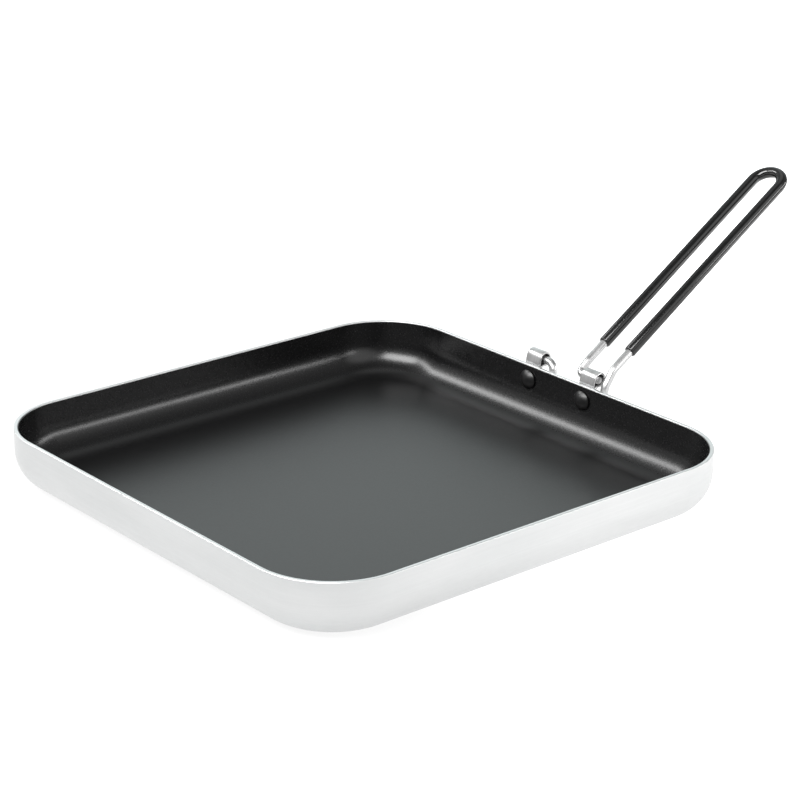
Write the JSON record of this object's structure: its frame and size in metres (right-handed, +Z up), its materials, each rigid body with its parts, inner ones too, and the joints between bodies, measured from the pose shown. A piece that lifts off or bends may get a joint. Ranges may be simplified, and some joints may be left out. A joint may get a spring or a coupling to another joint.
{
  "type": "square frying pan",
  "caption": "Square aluminium frying pan with rounded corners, a black non-stick inside and a folding wire handle with a sleeved loop grip.",
  "frame": {"origin": "middle of the pan's flat underside", "axes": "+Z up out of the pan, +X towards the wall that carries the handle"},
  "size_m": [0.4283, 0.28, 0.1288],
  "materials": {
    "pan": "satin",
    "coating": "fine satin",
    "strap": "satin",
    "rivet": "satin",
    "wire": "polished",
    "grip": "gloss"
  },
  "bodies": {
    "pan": {"pan_body": "pan", "nonstick_coating": "coating", "left_hinge_strap": "strap", "right_hinge_strap": "strap", "left_rivet": "rivet", "right_rivet": "rivet"},
    "handle": {"handle_wire": "wire", "grip_sleeve": "grip"}
  },
  "joints": [
    {"name": "handle_fold", "type": "hinge", "parent": "pan", "child": "handle", "pos_m": [0.1452, 0, 0.0348], "axis": [0, -1, 0], "range_deg": [0, 140]}
  ]
}
